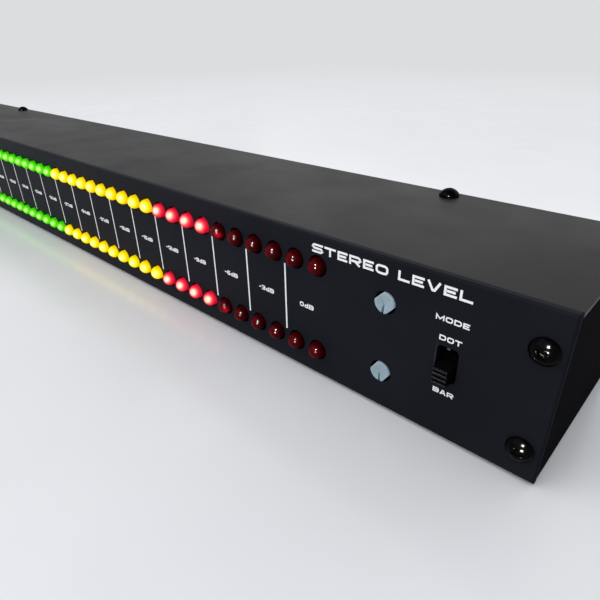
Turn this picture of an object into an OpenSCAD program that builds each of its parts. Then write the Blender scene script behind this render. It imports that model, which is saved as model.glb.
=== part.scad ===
// Stereo LED level meter: a flat one-unit case with two rows of lamps, a dot or bar
// slide switch and two screwdriver-set calibration trimmers in its front panel.
// Millimetres. X runs along the panel, Y from the panel into the case, Z is up.
// The parts are drawn from the panel face at half its height, then placed on the surface.

/* [Case] */
// Width of the front panel, the tray and the cover
case_w = 448; // [446:1:482]
// Height of the front panel
panel_h = 44; // [43.5:0.5:46]
// Thickness of the front panel
panel_t = 2; // [1.6:0.1:2]
// Chamfer round the front of the panel
panel_edge = 0.5; // [0.2:0.1:0.8]
// Depth from the panel face to the rear wall
case_d = 59; // [58:1:90]
// Sheet thickness of the tray and the cover
sheet = 1; // [0.8:0.1:1]
// Outside radius of the tray's bends
bend_r = 1.6; // [1.2:0.1:2]
// Clearance of the panel's lower edge above the surface
sit_gap = 0.8; // [0.4:0.1:2]
// Width of the seam between the panel and the cover
seam = 0.5; // [0.3:0.1:0.8]
// Step from the panel's upper edge down to the cover
cover_drop = 0.5; // [0:0.1:0.8]

/* [Lamps] */
// Green lamps in each row
green_count = 20; // [10:1:20]
// Yellow lamps in each row
yellow_count = 10; // [5:1:10]
// Red lamps in each row
red_count = 10; // [5:1:10]
// Spacing of the lamps along a row
lamp_pitch = 8.22; // [7.5:0.01:8.3]
// Height of each row above and below the middle of the panel
row_z = 13.4; // [12.8:0.1:13.6]
// Lamp diameter
lamp_d = 5; // [4.8:0.1:5]
// Diameter of the lamp holes in the panel
lamp_hole_d = 6.2; // [5.9:0.1:6.4]
// How far a lamp stands out of the panel
lamp_out = 2.9; // [2:0.1:3.2]

/* [Controls] */
// Height of the middle of the controls, from the middle of the panel
control_z = -0.3; // [-0.6:0.1:0.6]
// Distance of the trimmers from the right end of the panel
trim_from_end = 41.9; // [40:0.1:43]
// Height of each trimmer above and below the middle of the controls
trim_z = 10.25; // [9.5:0.05:11]
// Diameter of a trimmer's slotted head
trim_d = 5.9; // [5.6:0.1:6.4]
// Width of that head across its two flats
trim_flats = 4.7; // [4.4:0.1:5.4]
// Angle that the upper trimmer is set to
upper_set = -5; // [-20:1:20]
// Angle that the lower trimmer is set to
lower_set = 3; // [-20:1:20]
// Distance of the switch from the right end of the panel
switch_from_end = 24.3; // [23:0.1:26]
// Width of the switch slot in the panel
slot_w = 5.6; // [5.2:0.1:6]
// Height of the switch slot in the panel
slot_h = 9.5; // [9:0.1:10.5]
// Travel of the slider
slide_travel = 4.1; // [3.5:0.1:4.1]
// How far the slider stands out of the panel
slide_out = 2.9; // [2:0.1:2.9]

/* [Fasteners] */
// Distance of the panel screws from the ends of the panel
screw_from_end = 4.5; // [4.2:0.1:6]
// Height of the middle between the panel screws, from the middle of the panel
screw_mid_z = -0.7; // [-1:0.1:0.6]
// Height of the panel screws above and below that
screw_z = 13.05; // [12:0.05:14]
// Diameter of a screw head
head_d = 6.4; // [5.4:0.1:6.6]
// Height of a screw head
head_h = 2.4; // [1.8:0.1:2.6]
// Distance of the cover screws from the ends of the cover
cover_screw_from_end = 55.5; // [50:0.5:60]

/* [Rear] */
// How far the phono sockets stand out of the rear wall
phono_out = 9; // [8:0.5:10]
// Outside diameter of a phono socket
phono_d = 8.3; // [8.2:0.05:8.4]

/* [Hidden] */
$fn = 64;
row_count = green_count + yellow_count + red_count;
// Places of the case in depth and height, with the whole part centred over the origin
y_face = (lamp_out - case_d - phono_out) / 2;
z_mid = sit_gap + panel_h / 2;
floor_z = -z_mid;
roof_z = panel_h / 2 - cover_drop;
inner_roof_z = roof_z - sheet;
wall_y = case_d - sheet;
half_w = case_w / 2;
// Lamps seat on their board, which sets its depth
lamp_len = 8.7;
lamp_rim_d = 5.8;
board_t = 1.6;
board_y = lamp_len - lamp_out;
board_back_y = board_y + board_t;
board_half_w = 208;
board_half_h = 19;
standoff_spots = [[-170, -13], [-170, 13], [170, -13], [170, 13], [-82.2, 0], [0, 0], [82.2, 0]];
// Controls behind the panel
trim_x = half_w - trim_from_end;
trim_hole_d = trim_d + 0.3;
trim_out = 0.55;
flats_angle = -38;
flats_corner_r = 1.9;
slot_angle = -3;
slot_tilt = 14;
driver_slot_w = 0.7;
dish_deep = 0.3;
trim_body_y = panel_t + 0.4;
trim_body_w = 9.6;
trim_stem_d = 4.9;
trim_bore_d = 5;
switch_x = half_w - switch_from_end;
slider_w = 3.8;
slider_h = 4.2;
slider_z = control_z - slide_travel / 2;
grip_ribs = 4;
rib_w = 0.4;
rib_pitch = (slider_h - rib_w) / (grip_ribs - 1);
groove_deep = 0.8;
shoe_w = 6;
shoe_h = 6;
frame_y = panel_t + 0.2;
frame_w = 8.6;
frame_h = 17;
// Screws and nuts
screw_d = 2.9;
screw_hole_d = 3.4;
nut_d = 5.5 / cos(30);
nut_h = 2.4;
small_head_d = 5.4;
small_head_h = 1.9;
board_screw_len = 5;
standoff_d = 5.5;
standoff_bore_d = 3;
panel_screw_x = half_w - screw_from_end;
cover_screw_x = half_w - cover_screw_from_end;
cover_screw_y = case_d - 3.9;
// Flanges of the tray and hooks of the cover
flange_w = 18;
flange_top = roof_z - 4;
lip_h = 3.5;
hook_x = half_w - 14;
hook_z = 15.7;
hook_w = 6;
rear_flange = 11;
// Audio board on the tray
audio_x0 = 108;
audio_x1 = 198;
audio_y0 = wall_y - 39;
audio_y1 = wall_y - 1;
audio_standoff = 5;
audio_z = floor_z + sheet + audio_standoff;
audio_top = audio_z + board_t;
audio_spots = [for (x = [113, 193]) for (y = [audio_y0 + 5, audio_y1 - 5]) [x, y]];
phono_x = [150, 172];
phono_low = audio_top + 8.5;
phono_high = phono_low + 14;
power_x = 126;
power_z = audio_top + 6.5;
power_bore_d = 6.2;
power_deep = 9;
phono_body_w = 12;
phono_body_h = 26.5;
phono_body_deep = 14;
capacitor_x = [118, 134];
capacitor_y = audio_y0 + 17;
buffer_x = 186;
buffer_y = audio_y0 + 15;
// Packages of the circuits
chip_w = 6.4;
chip_h = 3.3;
chip_lift = 0.5;
driver_len = 22.9;
buffer_len = 9.8;
leg_pitch = 2.54;
// Flat cable between the boards
cable_x = 150;
cable_w = 12.7;
cable_t = 0.9;
cable_z = 2;
cable_y = audio_y0 + 12;
cable_r = 6;
header_w = 17;
header_t = 6;
header_h = 8;

// Position of a lamp along its row, counted from the left
function lamp_x(i) = (i - (row_count - 1) / 2) * lamp_pitch;

// From the panel face at half its height to the surface that the case stands on
module placed() {
  translate([0, y_face, z_mid]) children();
}

// A flat shape seen from the front, standing from depth y0 with thickness t
module upright(y0, t) {
  translate([0, y0 + t, 0]) rotate([90, 0, 0]) linear_extrude(t) children();
}

// A side profile in depth and height, drawn out along X about the middle
module along_x(w) {
  translate([-w / 2, 0, 0]) rotate([90, 0, 90]) linear_extrude(w) children();
}

// A flat shape seen from above, from height z0 with thickness t
module level(z0, t) {
  translate([0, 0, z0]) linear_extrude(t) children();
}

// A child on both sides of the middle
module both_ends() {
  children();
  mirror([1, 0, 0]) children();
}

// A rectangle with round corners, from four corner discs and two bars
module soft_rect(w, h, r) {
  square([w - 2 * r, h], center = true);
  square([w, h - 2 * r], center = true);
  for (sx = [-1, 1]) {
    for (sz = [-1, 1]) {
      translate([sx * (w / 2 - r), sz * (h / 2 - r)]) circle(r);
    }
  }
}

// Wedge of a cross recess
module recess_wedge() {
  rotate([90, 0, 0]) linear_extrude(0.75, center = true)
    polygon([[-1.8, 0.3], [1.8, 0.3], [0.55, -1.35], [-0.55, -1.35]]);
}

// Domed cross-recess screw with its seat at the origin and its head upward
module pan_screw(len, d = head_d, h = head_h) {
  skirt = 0.5;
  rise = h - skirt;
  dome_r = (d * d / 4 + rise * rise) / (2 * rise);
  difference() {
    union() {
      intersection() {
        cylinder(d = d, h = h + 0.1);
        translate([0, 0, h - dome_r]) sphere(dome_r);
        translate([0, 0, h]) cube([2 * d, 2 * d, 2 * h], center = true);
      }
      translate([0, 0, -len]) cylinder(d = screw_d, h = len);
    }
    translate([0, 0, h]) recess_wedge();
    translate([0, 0, h]) rotate([0, 0, 90]) recess_wedge();
  }
}

// Hexagon nut lying on its face
module hex_nut() {
  difference() {
    cylinder(d = nut_d, h = nut_h, $fn = 6);
    translate([0, 0, -1]) cylinder(d = screw_d + 0.1, h = nut_h + 2);
  }
}

// Lamp profile turned about its axis, from its rim to the top of its dome
module lamp() {
  r = lamp_d / 2;
  rotate_extrude() {
    square([lamp_rim_d / 2, 1]);
    square([r, lamp_len - r]);
    translate([0, lamp_len - r]) intersection() {
      circle(r);
      square([r, r]);
    }
  }
}

// A run of lamps in one row
module lamp_run(first, count, z) {
  placed() for (i = [first : first + count - 1]) {
    translate([lamp_x(i), board_y, z]) rotate([90, 0, 0]) lamp();
  }
}

// Front panel with its lamp, trimmer, switch and screw openings
module panel_outline() {
  difference() {
    square([case_w, panel_h], center = true);
    for (i = [0 : row_count - 1]) {
      for (s = [-1, 1]) {
        translate([lamp_x(i), s * row_z]) circle(d = lamp_hole_d);
      }
    }
    for (s = [-1, 1]) {
      translate([trim_x, control_z + s * trim_z]) circle(d = trim_hole_d);
    }
    translate([switch_x, control_z]) soft_rect(slot_w, slot_h, 1.3);
    for (sx = [-1, 1]) {
      for (sz = [-1, 1]) {
        translate([sx * panel_screw_x, screw_mid_z + sz * screw_z]) circle(d = screw_hole_d);
      }
    }
  }
}

// Square bar turned on its corner, which bevels an edge that it lies on
module bevel_bar(len) {
  side = panel_edge * sqrt(2);
  rotate([45, 0, 0]) cube([len, side, side], center = true);
}

module front_panel() {
  color("#1d1f24") placed() difference() {
    upright(0, panel_t) panel_outline();
    for (s = [-1, 1]) {
      translate([0, 0, s * panel_h / 2]) bevel_bar(case_w + 2);
      translate([s * half_w, 0, 0]) rotate([0, 90, 0]) bevel_bar(panel_h + 2);
    }
  }
}

// Folded tray: side profile with a front lip, a rear wall and a flange under the cover
module tray_profile() {
  translate([panel_t, floor_z]) square([case_d - panel_t, sheet]);
  translate([panel_t, floor_z]) square([sheet, lip_h]);
  translate([wall_y, floor_z]) square([sheet, inner_roof_z - floor_z]);
  translate([case_d - rear_flange, inner_roof_z - sheet]) square([rear_flange, sheet]);
}

// Outer form of the tray, whose bends have a radius
module tray_bends() {
  intersection() {
    along_x(case_w) {
      difference() {
        translate([0, floor_z]) square([case_d, panel_h + sit_gap]);
        translate([case_d - bend_r, floor_z]) square(bend_r);
      }
      translate([case_d - bend_r, floor_z + bend_r]) circle(bend_r);
    }
    upright(0, case_d) {
      translate([-half_w, floor_z + bend_r]) square([case_w, panel_h]);
      translate([bend_r - half_w, floor_z]) square([case_w - 2 * bend_r, panel_h]);
      for (s = [-1, 1]) {
        translate([s * (half_w - bend_r), floor_z + bend_r]) circle(bend_r);
      }
    }
  }
}

// End wall of the tray with the flange that the panel is screwed to
module tray_end() {
  translate([half_w - sheet, panel_t, floor_z])
    cube([sheet, case_d - panel_t, inner_roof_z - floor_z]);
  difference() {
    translate([half_w - flange_w, panel_t, floor_z]) cube([flange_w, sheet, flange_top - floor_z]);
    upright(0, case_d) {
      for (s = [-1, 1]) {
        translate([panel_screw_x, screw_mid_z + s * screw_z]) circle(d = screw_hole_d);
      }
      translate([hook_x, hook_z]) square([hook_w + 1, sheet + 0.5], center = true);
    }
  }
}

module base_tray() {
  color("#17181b") placed() difference() {
    intersection() {
      union() {
        along_x(case_w) tray_profile();
        both_ends() tray_end();
      }
      tray_bends();
    }
    both_ends() translate([cover_screw_x, cover_screw_y, 0]) cylinder(d = screw_hole_d, h = 40);
    upright(wall_y - 1, sheet + 2) {
      for (x = phono_x) {
        for (z = [phono_low, phono_high]) {
          translate([x, z]) circle(d = phono_d + 0.7);
        }
      }
      translate([power_x, power_z]) circle(d = 8);
    }
  }
}

// Flat cover with a front lip and two hooks that slide into the tray's flanges
module cover_hook() {
  translate([hook_x - hook_w / 2, panel_t + 1.2, hook_z - 0.5])
    cube([hook_w, sheet, inner_roof_z - hook_z + 0.5]);
  translate([hook_x - hook_w / 2, panel_t + 0.1, hook_z - 0.5]) cube([hook_w, sheet + 1, sheet]);
}

module top_cover() {
  color("#1a1b1f") placed() {
    difference() {
      translate([-half_w, panel_t + seam, inner_roof_z]) cube([case_w, case_d - panel_t - seam, sheet]);
      both_ends() translate([cover_screw_x, cover_screw_y, 0]) cylinder(d = screw_hole_d, h = 40);
    }
    translate([2 - half_w, panel_t + seam, roof_z - lip_h]) cube([case_w - 4, sheet, lip_h]);
    both_ends() cover_hook();
  }
}

module panel_screws() {
  color("#0d0d0f") placed() both_ends() for (s = [-1, 1]) {
    translate([panel_screw_x, 0, screw_mid_z + s * screw_z]) rotate([90, 0, 0]) pan_screw(7);
  }
}

module panel_nuts() {
  color("#b9bcc0") placed() both_ends() for (s = [-1, 1]) {
    translate([panel_screw_x, panel_t + sheet, screw_mid_z + s * screw_z]) rotate([-90, 30, 0]) hex_nut();
  }
}

module cover_screws() {
  color("#0d0d0f") placed() both_ends() translate([cover_screw_x, cover_screw_y, roof_z]) pan_screw(6);
}

module cover_nuts() {
  color("#b9bcc0") placed() both_ends()
    translate([cover_screw_x, cover_screw_y, inner_roof_z - sheet - nut_h]) hex_nut();
}

// Lamp board behind the panel, on standoffs pressed into the panel's back
module led_board() {
  color("#1f5d38") placed() upright(board_y, board_t) difference() {
    square([2 * board_half_w, 2 * board_half_h], center = true);
    for (p = standoff_spots) {
      translate(p) circle(d = screw_hole_d);
    }
  }
}

module board_standoffs() {
  color("#c3c6c9") placed() for (p = standoff_spots) {
    translate([p[0], 0, p[1]]) upright(panel_t, board_y - panel_t) difference() {
      circle(d = standoff_d);
      circle(d = standoff_bore_d);
    }
  }
}

module board_screws() {
  color("#a9adb2") placed() for (p = standoff_spots) {
    translate([p[0], board_back_y, p[1]]) rotate([-90, 0, 0])
      pan_screw(board_screw_len, small_head_d, small_head_h);
  }
}

module upper_green_leds() {
  color("#2fbf3a") lamp_run(0, green_count, row_z);
}

module upper_yellow_leds() {
  color("#e9d21f") lamp_run(green_count, yellow_count, row_z);
}

module upper_red_leds() {
  color("#a01218") lamp_run(green_count + yellow_count, red_count, row_z);
}

module lower_green_leds() {
  color("#2fbf3a") lamp_run(0, green_count, -row_z);
}

module lower_yellow_leds() {
  color("#e9d21f") lamp_run(green_count, yellow_count, -row_z);
}

module lower_red_leds() {
  color("#a01218") lamp_run(green_count + yellow_count, red_count, -row_z);
}

// Calibration trimmers: housings on the lamp board, slotted rotors through the panel
module trimmer_bodies() {
  color("#1b1c20") placed() for (s = [-1, 1]) {
    translate([trim_x, 0, control_z + s * trim_z]) difference() {
      upright(trim_body_y, board_y - trim_body_y) soft_rect(trim_body_w, trim_body_w, 1);
      upright(trim_body_y - 1, 2.8) circle(d = trim_bore_d);
    }
  }
}

// Profile of a rotor's head: a rim with a shallow dish inside it
module rotor_head(len) {
  r = trim_d / 2;
  rotate_extrude()
    polygon([[0, 0], [r, 0], [r, len - 0.25], [r - 0.25, len], [r - 0.7, len], [0, len - dish_deep]]);
}

// Rotor turned to an angle: a stem in its housing, and a head with two flats between round
// corners, and a driver slot that deepens from the middle and runs out through its rim
module trimmer_rotor(z, angle) {
  seat = trim_body_y - 0.2;
  len = seat + trim_out;
  color("#c9ced0") placed() translate([trim_x, seat, control_z + z]) rotate([90, 0, 0]) rotate(angle) {
    translate([0, 0, -1.7]) cylinder(d = trim_stem_d, h = 1.7);
    difference() {
      intersection() {
        rotor_head(len);
        rotate(flats_angle) linear_extrude(4 * len, center = true)
          soft_rect(trim_flats, trim_d + 0.4, flats_corner_r);
      }
      translate([0, 0, len - dish_deep + 0.05]) rotate(slot_angle) rotate([slot_tilt, 0, 0])
        translate([-driver_slot_w / 2, -trim_d, 0]) cube([driver_slot_w, trim_d, len]);
    }
  }
}

module upper_trimmer_rotor() {
  trimmer_rotor(trim_z, upper_set);
}

module lower_trimmer_rotor() {
  trimmer_rotor(-trim_z, lower_set);
}

// Slide switch: a formed frame with a window, and the slider whose shoe runs inside it
module switch_frame() {
  run = slider_h + slide_travel;
  color("#1b1c20") placed() translate([switch_x, 0, control_z]) difference() {
    upright(frame_y, board_y - frame_y) soft_rect(frame_w, frame_h, 0.8);
    upright(frame_y - 1, 2) square([slider_w + 0.5, run + 0.5], center = true);
    upright(frame_y + 0.8, 1.7) square([shoe_w + 0.4, shoe_h + slide_travel + 0.5], center = true);
  }
}

// Groove between two ribs of the slider: a wedge that reaches a little out of the face
module rib_groove() {
  over = 0.25;
  half = (rib_pitch - rib_w) / 2 * (1 + over);
  polygon([[groove_deep, 0], [-over * groove_deep, half], [-over * groove_deep, -half]]);
}

// Side profile of the slider's grip, ribbed across its face
module grip_profile() {
  depth = slide_out + frame_y + 1;
  bevel = 0.2;
  difference() {
    translate([-slide_out, -slider_h / 2]) square([depth, slider_h]);
    for (k = [1 : grip_ribs - 1]) {
      translate([-slide_out, (k - grip_ribs / 2) * rib_pitch]) rib_groove();
    }
    for (s = [-1, 1]) {
      translate([-slide_out, s * slider_h / 2]) rotate(45) square(bevel, center = true);
    }
  }
}

module mode_slider() {
  color("#15161a") placed() translate([switch_x, 0, slider_z]) {
    along_x(slider_w) grip_profile();
    upright(frame_y + 1, 1.3) square([shoe_w, shoe_h], center = true);
  }
}

// Lamp drivers on the back of the lamp board, two rows of four
module chip_places() {
  placed() for (k = [-1.5 : 1 : 1.5]) {
    for (s = [-1, 1]) {
      translate([k * 10 * lamp_pitch, board_back_y, s * 7.6]) rotate([-90, 0, 0]) children();
    }
  }
}

// Moulded dual-in-line package of a given length, with the notch at its first pin
module chip_body(len) {
  translate([0, 0, chip_lift]) difference() {
    linear_extrude(chip_h) square([len, chip_w], center = true);
    translate([-len / 2, 0, chip_h - 1]) cylinder(d = 2, h = 2);
  }
}

// Legs of such a package, bent down along both of its sides
module chip_leg_rows(pins) {
  for (i = [0 : pins - 1]) {
    for (s = [-1, 1]) {
      translate([(i - (pins - 1) / 2) * leg_pitch, s * (chip_w + 0.3) / 2, 1.2])
        cube([0.6, 0.3, 2.4], center = true);
    }
  }
}

module driver_chips() {
  color("#222326") chip_places() chip_body(driver_len);
}

module chip_legs() {
  color("#c9ccd0") {
    chip_places() chip_leg_rows(9);
    placed() translate([buffer_x, buffer_y, audio_top]) chip_leg_rows(4);
  }
}

// Audio board on the tray, which carries the rear sockets
module audio_board() {
  color("#1f5d38") placed() level(audio_z, board_t) difference() {
    translate([audio_x0, audio_y0]) square([audio_x1 - audio_x0, audio_y1 - audio_y0]);
    for (p = audio_spots) {
      translate(p) circle(d = screw_hole_d);
    }
  }
}

module tray_standoffs() {
  color("#c3c6c9") placed() for (p = audio_spots) {
    translate(p) level(floor_z + sheet, audio_standoff) difference() {
      circle(d = standoff_d);
      circle(d = standoff_bore_d);
    }
  }
}

module audio_screws() {
  color("#a9adb2") placed() for (p = audio_spots) {
    translate([p[0], p[1], audio_top]) pan_screw(board_screw_len, small_head_d, small_head_h);
  }
}

module phono_housings() {
  color("#151517") placed() for (x = phono_x) {
    translate([x, 0, audio_top + phono_body_h / 2])
      upright(wall_y - phono_body_deep, phono_body_deep) soft_rect(phono_body_w, phono_body_h, 0.8);
  }
}

// A ring-shaped part of a phono socket, turned from its profile, pointing to the rear
module phono_part(z) {
  placed() for (x = phono_x) {
    translate([x, wall_y, z]) rotate([-90, 0, 0]) rotate_extrude() children();
  }
}

module sleeve_profile() {
  r = phono_d / 2;
  len = phono_out + sheet;
  polygon([[3.45, 0], [r + 0.25, 0], [r + 0.25, sheet], [r, sheet], [r, len - 0.4], [r - 0.4, len],
    [3.45, len]]);
}

module insert_profile() {
  len = phono_out + sheet - 0.6;
  polygon([[0, 0], [3.4, 0], [3.4, len], [1.95, len], [1.65, len - 0.3], [1.65, 1], [0, 1]]);
}

module phono_sleeves() {
  color("#c8c4b4") {
    phono_part(phono_low) sleeve_profile();
    phono_part(phono_high) sleeve_profile();
  }
}

module white_inserts() {
  color("#e8e8e4") phono_part(phono_high) insert_profile();
}

module red_inserts() {
  color("#b3141c") phono_part(phono_low) insert_profile();
}

// Low-voltage power socket with a collar in the rear wall, and its centre pin
module power_socket() {
  color("#151517") placed() translate([power_x, 0, power_z]) difference() {
    union() {
      translate([0, 0, -0.75]) upright(wall_y - 13.5, 13.5) soft_rect(9, 11.5, 0.6);
      upright(wall_y, sheet + 0.5) circle(d = 7.6);
    }
    upright(wall_y - power_deep, power_deep + 3) circle(d = power_bore_d);
  }
}

module power_pin() {
  len = power_deep + 0.5;
  color("#c9ccd0") placed() translate([power_x, wall_y - power_deep, power_z])
    rotate([-90, 0, 0]) rotate_extrude()
      polygon([[0, 0], [1, 0], [1, len - 0.5], [0.6, len], [0, len]]);
}

module filter_capacitors() {
  color("#2b3a6b") placed() for (x = capacitor_x) {
    translate([x, capacitor_y, audio_top]) rotate_extrude()
      polygon([[0, 0], [5, 0], [5, 1.6], [4.6, 2], [4.6, 2.4], [5, 2.8], [5, 15.6], [4.6, 16], [0, 16]]);
  }
}

module buffer_chip() {
  color("#222326") placed() translate([buffer_x, buffer_y, audio_top]) chip_body(buffer_len);
}

// Flat cable: out of its header on the lamp board, round a bend and down to the audio board
module cable_profile() {
  low = audio_top + header_h;
  translate([board_back_y + header_h, cable_z - cable_t / 2])
    square([cable_y - cable_r - board_back_y - header_h, cable_t]);
  translate([cable_y - cable_t / 2, low]) square([cable_t, cable_z - cable_r - low]);
  intersection() {
    translate([cable_y - cable_r, cable_z - cable_r]) difference() {
      circle(cable_r + cable_t / 2);
      circle(cable_r - cable_t / 2);
    }
    translate([cable_y - cable_r, cable_z - cable_r]) square(2 * cable_r);
  }
}

module ribbon_cable() {
  color("#8f949a") placed() translate([cable_x, 0, 0]) along_x(cable_w) cable_profile();
}

module cable_headers() {
  color("#2a2b2e") placed() translate([cable_x, 0, 0]) {
    translate([0, 0, cable_z]) upright(board_back_y, header_h) square([header_w, header_t], center = true);
    translate([0, cable_y, 0]) level(audio_top, header_h) square([header_w, header_t], center = true);
  }
}

front_panel();
base_tray();
top_cover();
panel_screws();
panel_nuts();
cover_screws();
cover_nuts();
led_board();
board_standoffs();
board_screws();
upper_green_leds();
upper_yellow_leds();
upper_red_leds();
lower_green_leds();
lower_yellow_leds();
lower_red_leds();
trimmer_bodies();
upper_trimmer_rotor();
lower_trimmer_rotor();
switch_frame();
mode_slider();
driver_chips();
chip_legs();
audio_board();
tray_standoffs();
audio_screws();
phono_housings();
phono_sleeves();
white_inserts();
red_inserts();
power_socket();
power_pin();
filter_capacitors();
buffer_chip();
ribbon_cable();
cable_headers();
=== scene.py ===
import bpy
import math
from mathutils import Matrix, Vector


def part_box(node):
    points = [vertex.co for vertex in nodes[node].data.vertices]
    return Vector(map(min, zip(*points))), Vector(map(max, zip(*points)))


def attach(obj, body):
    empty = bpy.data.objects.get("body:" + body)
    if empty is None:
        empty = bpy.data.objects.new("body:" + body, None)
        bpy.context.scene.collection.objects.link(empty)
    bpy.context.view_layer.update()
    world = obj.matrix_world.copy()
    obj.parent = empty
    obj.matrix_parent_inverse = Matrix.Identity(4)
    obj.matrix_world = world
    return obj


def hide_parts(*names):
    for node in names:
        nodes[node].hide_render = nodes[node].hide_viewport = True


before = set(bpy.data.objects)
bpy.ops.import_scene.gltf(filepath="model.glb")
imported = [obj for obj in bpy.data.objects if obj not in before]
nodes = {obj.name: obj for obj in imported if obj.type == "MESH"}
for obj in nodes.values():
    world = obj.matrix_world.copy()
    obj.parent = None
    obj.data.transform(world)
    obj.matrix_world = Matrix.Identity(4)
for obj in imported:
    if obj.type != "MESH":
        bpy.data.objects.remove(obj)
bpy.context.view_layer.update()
MM = 0.001


def box_mm(node):
    """Lowest and highest corners of a node, in millimetres."""
    low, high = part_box(node)
    return [c / MM for c in low], [c / MM for c in high]


def middle_height(node):
    """Height of the middle of a node, in millimetres."""
    low, high = box_mm(node)
    return (low[2] + high[2]) / 2


# Lamps of a row, numbered from the left
GREENS = range(0, 20)
YELLOWS = range(20, 30)
RED_LIT = range(30, 34)
RED_DARK = range(34, 40)
RED_COUNT = len(RED_LIT) + len(RED_DARK)
LAST_LAMP = RED_DARK[-1]

# Sizes and places, in millimetres
FACE_Y = box_mm("front_panel")[0][1]
ROOF_Z = box_mm("top_cover")[1][2]
RIM_R = 2.9
RIM_T = 1.0
RIM_EDGE = 0.1
LAMP_R = 2.5
BARREL_RINGS = (3.6, 5.4)
RIM_FILLET = ((0.12, 0.0), (0.03, 0.04), (0.0, 0.14))
red_low, red_high = box_mm("upper_red_leds")
BOARD_Y = red_high[1]
LAMP_LEN = red_high[1] - red_low[1]
PITCH = (red_high[0] - red_low[0] - 2 * RIM_R) / (RED_COUNT - 1)
LAST_X = red_high[0] - RIM_R
ROWS = {row: middle_height(row + "_red_leds") for row in ("upper", "lower")}
head_low, head_high = box_mm("cover_screws")
HEAD_R = (head_high[1] - head_low[1]) / 2
HEAD_EDGE = 0.1
SKIRT = 0.5
SHANK_R = 1.45
SHANK_TIP = 0.3

# Places of the part's frame where a material changes, in metres
PANEL_END = box_mm("front_panel")[1][0] * MM
# A painted highlight, a pale line, runs along the slot's left edge at SLOT_EDGE.
SLOT_EDGE = (0.1969, FACE_Y * MM, 0.0239)
# A painted glint, a pale spot, shows at PAINTED_GLINT_PLACE inside the switch slot.
PAINTED_GLINT_PLACE = (0.1978, -0.02785, 0.0237)
CABLE_MARK_X = 0.1448


def lamp_x(i):
    """Place of lamp i along its row, in millimetres."""
    return LAST_X - (LAST_LAMP - i) * PITCH


# Camera: the columns of its matrix are right, up, back and its place in metres
cam_data = bpy.data.cameras.new("camera")
cam_data.sensor_width = 36.0
cam_data.lens = 30.07
cam_data.clip_start = 0.005
cam_data.clip_end = 50.0
camera = bpy.data.objects.new("camera", cam_data)
bpy.context.scene.collection.objects.link(camera)
camera.matrix_world = Matrix((
    (0.73725, -0.30908, 0.60077, 0.240188),
    (0.67538, 0.36106, -0.64304, -0.125246),
    (-0.01816, 0.87983, 0.47494, 0.091987),
    (0, 0, 0, 1)))
bpy.context.scene.camera = camera

# Material helpers: widths and distances in metres
NOISE_LOW, NOISE_HIGH = 0.3, 0.7
SHEET_EDGE = 0.00025
SMALL_EDGE = 0.00012
RIB_EDGE = 0.0002
EDGE_SAMPLES = 12
END_FROM, END_FULL = 0.0005, 0.0002
END_SPEC = 0.002
ALONG_UPRIGHT = (1.0, 1.0, 0.09)
# Painted highlight along the slot's edge: where it is full, where it ends, and its strength.
PAINTED_HIGHLIGHT_NEAR, PAINTED_HIGHLIGHT_FAR = 0.0001, 0.0004
PAINTED_HIGHLIGHT_MOST = 0.55
HANDLED = 0.75
# Rib crests: pale edges that are wear and a painted highlight.
RIB_WEAR_AND_HIGHLIGHT = 0.9
# Painted glint in the switch slot: its reach and its tone.
PAINTED_GLINT_NEAR, PAINTED_GLINT_FAR = 0.0002, 0.0005
PAINTED_GLINT_TONE = (0.7, 0.7, 0.7)
TRACK_SCALE = 190.0
WIRE_PITCH = 0.00127


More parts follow.
